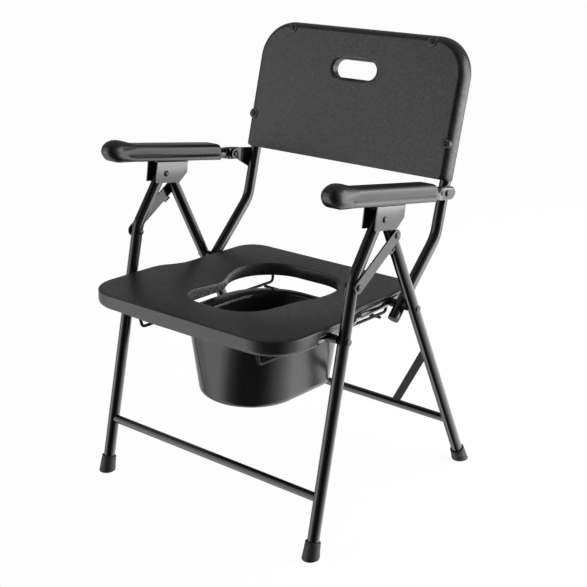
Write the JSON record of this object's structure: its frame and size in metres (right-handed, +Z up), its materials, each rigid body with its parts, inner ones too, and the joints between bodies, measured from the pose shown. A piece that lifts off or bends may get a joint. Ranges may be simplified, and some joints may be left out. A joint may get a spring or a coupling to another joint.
{
  "type": "commode chair",
  "caption": "Folding black commode chair: tube frame, moulded seat with keyhole opening, removable bucket on wire rails, armrests and a back panel with a hand hole.",
  "frame": {"origin": "floor level under the middle of the chair's bounding box", "axes": "+X toward the sitter's left, -Y toward the front, +Z up"},
  "size_m": [0.571, 0.5707, 0.8417],
  "materials": {
    "frame": "black powder coat, semi-gloss",
    "moulding": "fine-textured black blow-moulded plastic",
    "armrest": "satin black moulded plastic",
    "bucket": "glossy black moulded plastic",
    "rubber": "matte black rubber",
    "nylon": "black nylon",
    "fastener": "blackened steel"
  },
  "bodies": {
    "back_frame": {"back_tube": "frame", "back_panel": "moulding", "panel_screws": "fastener", "hinge_ear_left": "frame", "hinge_ear_right": "frame", "back_tube_plugs": "nylon", "seat_hinge_bolts": "fastener", "hinge_spacers": "nylon", "arm_hinge_rivets": "fastener"},
    "seat": {"seat_board": "moulding", "seat_tube_left": "frame", "seat_tube_right": "frame", "seat_screws": "fastener", "rail_left": "frame", "rail_right": "frame", "rail_cross_wire": "frame", "front_pivot_bolts": "fastener", "front_pivot_spacers": "nylon"},
    "bucket": {"bucket": "bucket"},
    "front_legs": {"front_leg_left": "frame", "front_leg_right": "frame", "front_crossbar": "frame", "front_foot_left": "rubber", "front_foot_right": "rubber", "link_front_rivets": "fastener"},
    "rear_legs": {"rear_leg_left": "frame", "rear_leg_right": "frame", "rear_crossbar": "frame", "rear_brace_left": "frame", "rear_brace_right": "frame", "rear_foot_left": "rubber", "rear_foot_right": "rubber"},
    "arm_left": {"arm_tube_left": "frame", "armrest_left": "armrest", "armrest_screws_left": "fastener", "arm_channel_left": "frame", "leg_rivet_left": "fastener"},
    "arm_right": {"arm_tube_right": "frame", "armrest_right": "armrest", "armrest_screws_right": "fastener", "arm_channel_right": "frame", "leg_rivet_right": "fastener"},
    "link_left": {"link_left": "frame", "link_rivet_left": "fastener"},
    "link_right": {"link_right": "frame", "link_rivet_right": "fastener"}
  },
  "joints": [
    {"name": "fold", "type": "hinge", "parent": "back_frame", "child": "seat", "pos_m": [0, 0.06785, 0.38], "axis": [-1, 0, 0], "range_deg": [0, 86]},
    {"name": "arm_left_fold", "type": "hinge", "parent": "back_frame", "child": "arm_left", "pos_m": [0.263, 0.16285, 0.576], "axis": [-1, 0, 0], "range_deg": [0, 86]},
    {"name": "arm_right_fold", "type": "hinge", "parent": "back_frame", "child": "arm_right", "pos_m": [-0.263, 0.16285, 0.576], "axis": [-1, 0, 0], "range_deg": [0, 86]},
    {"name": "front_leg_fold", "type": "hinge", "parent": "seat", "child": "front_legs", "pos_m": [0, -0.14015, 0.38], "axis": [-1, 0, 0], "range_deg": [-86, 0]},
    {"name": "rear_leg_fold", "type": "hinge", "parent": "back_frame", "child": "rear_legs", "pos_m": [0, 0.06785, 0.38], "axis": [-1, 0, 0], "range_deg": [0, 33.66]},
    {"name": "link_left_turn", "type": "hinge", "parent": "front_legs", "child": "link_left", "pos_m": [0.276, -0.11714, 0.473], "axis": [-1, 0, 0], "range_deg": [0, 113.81]},
    {"name": "link_right_turn", "type": "hinge", "parent": "front_legs", "child": "link_right", "pos_m": [-0.276, -0.11714, 0.473], "axis": [-1, 0, 0], "range_deg": [0, 113.81]},
    {"name": "bucket_slide", "type": "slide", "parent": "seat", "child": "bucket", "axis": [0, -0.9994, 0.0349], "range_m": [0, 0.07]}
  ],
  "couplings": [
    {"joint": "arm_left_fold", "follows": "fold", "ratio": 1},
    {"joint": "arm_right_fold", "follows": "fold", "ratio": 1},
    {"joint": "front_leg_fold", "follows": "fold", "ratio": -1},
    {"joint": "rear_leg_fold", "follows": "fold", "ratio": 0.39124},
    {"joint": "link_left_turn", "follows": "fold", "ratio": 1.3233},
    {"joint": "link_right_turn", "follows": "fold", "ratio": 1.3233}
  ]
}
